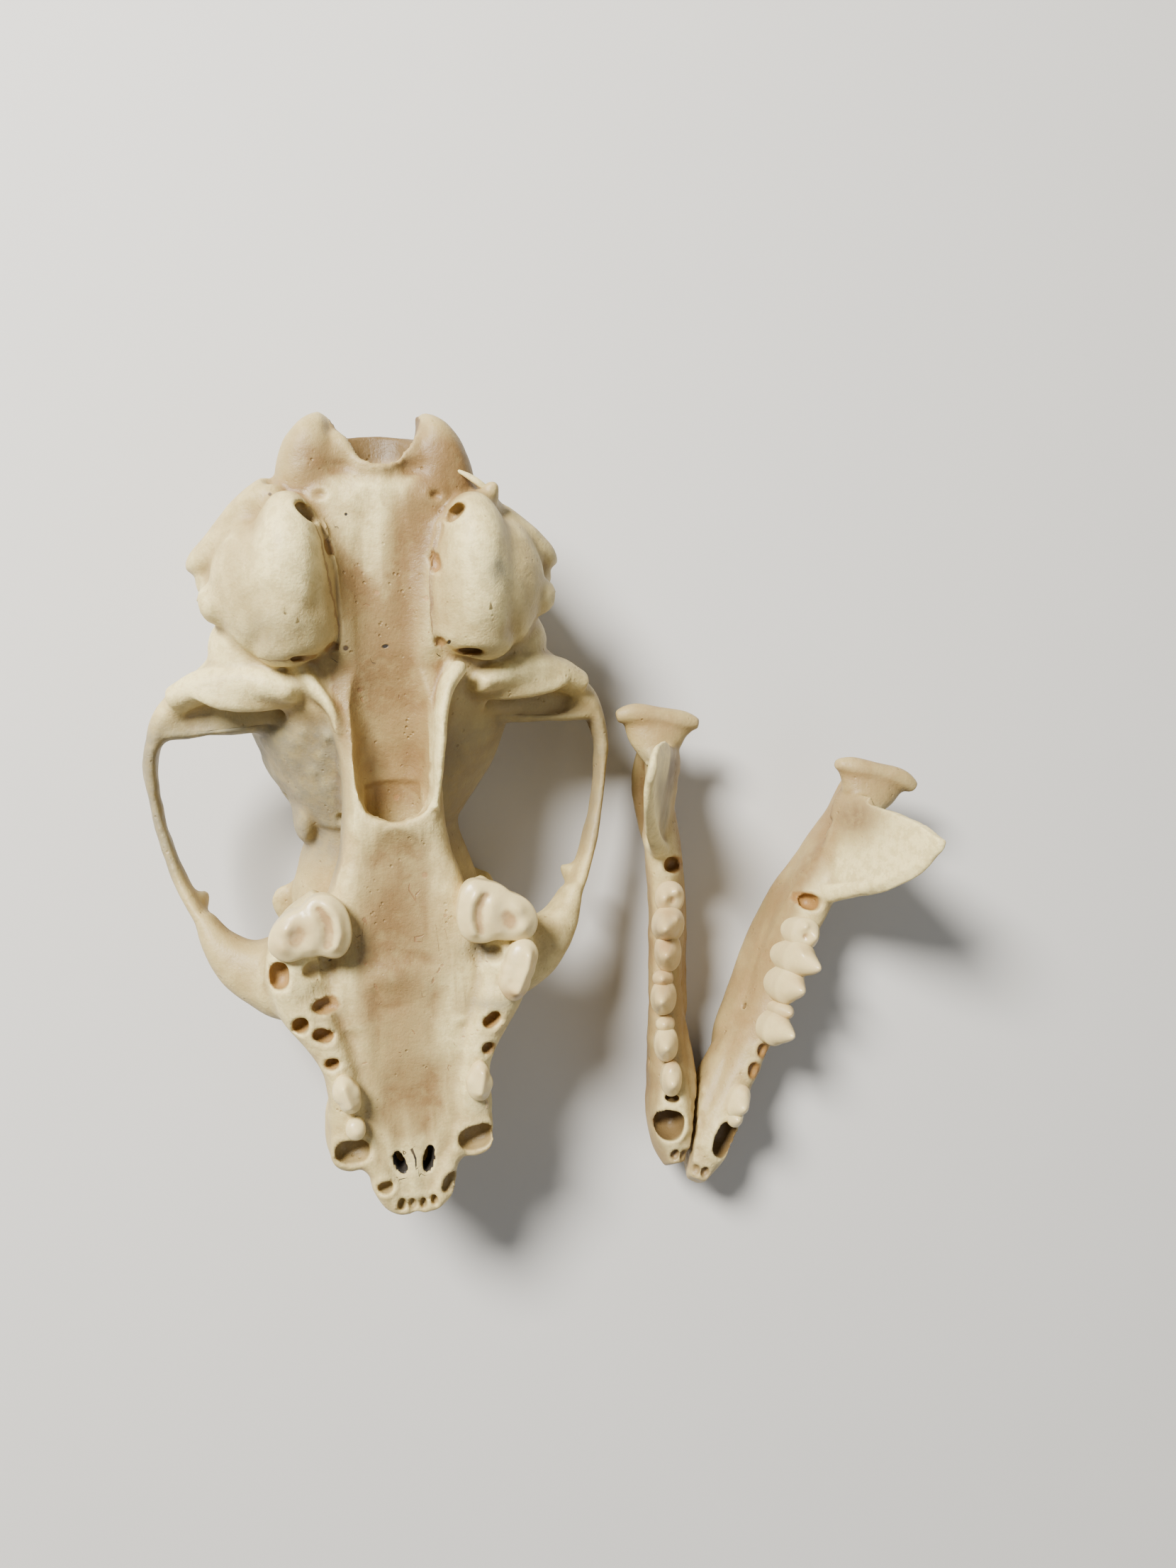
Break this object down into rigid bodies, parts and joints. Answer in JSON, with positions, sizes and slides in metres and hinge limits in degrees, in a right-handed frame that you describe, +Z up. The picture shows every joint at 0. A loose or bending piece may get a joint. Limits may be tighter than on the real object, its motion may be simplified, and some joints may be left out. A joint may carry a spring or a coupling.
{
  "type": "mammal skull",
  "caption": "Small carnivore skull lying on its roof with the palate up, and the two halves of its lower jaw standing beside it.",
  "frame": {"origin": "centre of the bounding box on the floor", "axes": "+Z up and away from the floor, towards the palate; -Y towards the front teeth; +X towards the lower jaw"},
  "size_m": [0.083, 0.0818, 0.0294],
  "materials": {
    "cranium_bone": "dry bone, matt with a faint sheen",
    "bulla_bone": "thin dry bone, smooth",
    "jaw_bone": "dry bone, matt with a faint sheen"
  },
  "bodies": {
    "root": {"auditory_bulla_left": "bulla_bone", "auditory_bulla_right": "bulla_bone", "braincase": "cranium_bone", "dentary_left": "jaw_bone", "dentary_right": "jaw_bone", "facial_skeleton": "cranium_bone", "zygomatic_arch_left": "cranium_bone", "zygomatic_arch_right": "cranium_bone"}
  },
  "joints": []
}
